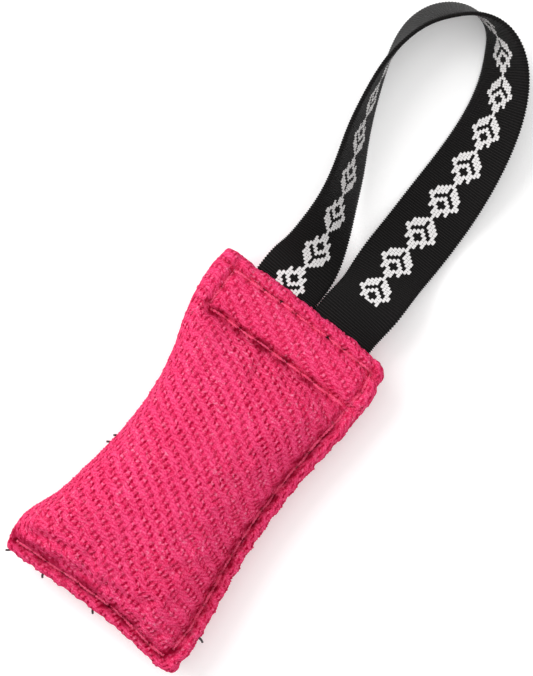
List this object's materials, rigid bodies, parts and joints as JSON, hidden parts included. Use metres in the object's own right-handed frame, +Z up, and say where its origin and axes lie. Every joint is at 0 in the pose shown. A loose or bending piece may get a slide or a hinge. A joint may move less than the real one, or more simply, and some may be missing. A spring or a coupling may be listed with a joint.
{
  "type": "training bumper",
  "caption": "Small stuffed bite-training pad for dogs: a folded coarse twill cover sewn shut on its other sides, with a flat webbing loop handle sewn into the top hem.",
  "frame": {"origin": "middle of the flat patch on the pad's underside that it rests on", "axes": "+Z up through the pad's thickness, +Y along the pad towards the handle, +X towards the sewn long side"},
  "size_m": [0.0715, 0.2404, 0.0293],
  "materials": {
    "cover_cloth": "coarse cotton-nylon twill, matt",
    "filling": "loose fibre wadding",
    "webbing": "black woven webbing with a white woven pattern",
    "thread": "sewing thread"
  },
  "bodies": {
    "pad": {"cover": "cover_cloth", "filling": "filling", "handle_end_left": "webbing", "handle_end_right": "webbing", "top_stitches": "thread", "hem_stitches": "thread", "hem_side_stitches": "thread", "side_stitches": "thread", "bottom_stitches": "thread"},
    "handle": {"handle_loop": "webbing"}
  },
  "joints": [
    {"name": "handle_flex", "type": "hinge", "parent": "pad", "child": "handle", "pos_m": [0, 0.0663, 0.0135], "axis": [1, 0, 0], "range_deg": [-100, 100]}
  ]
}
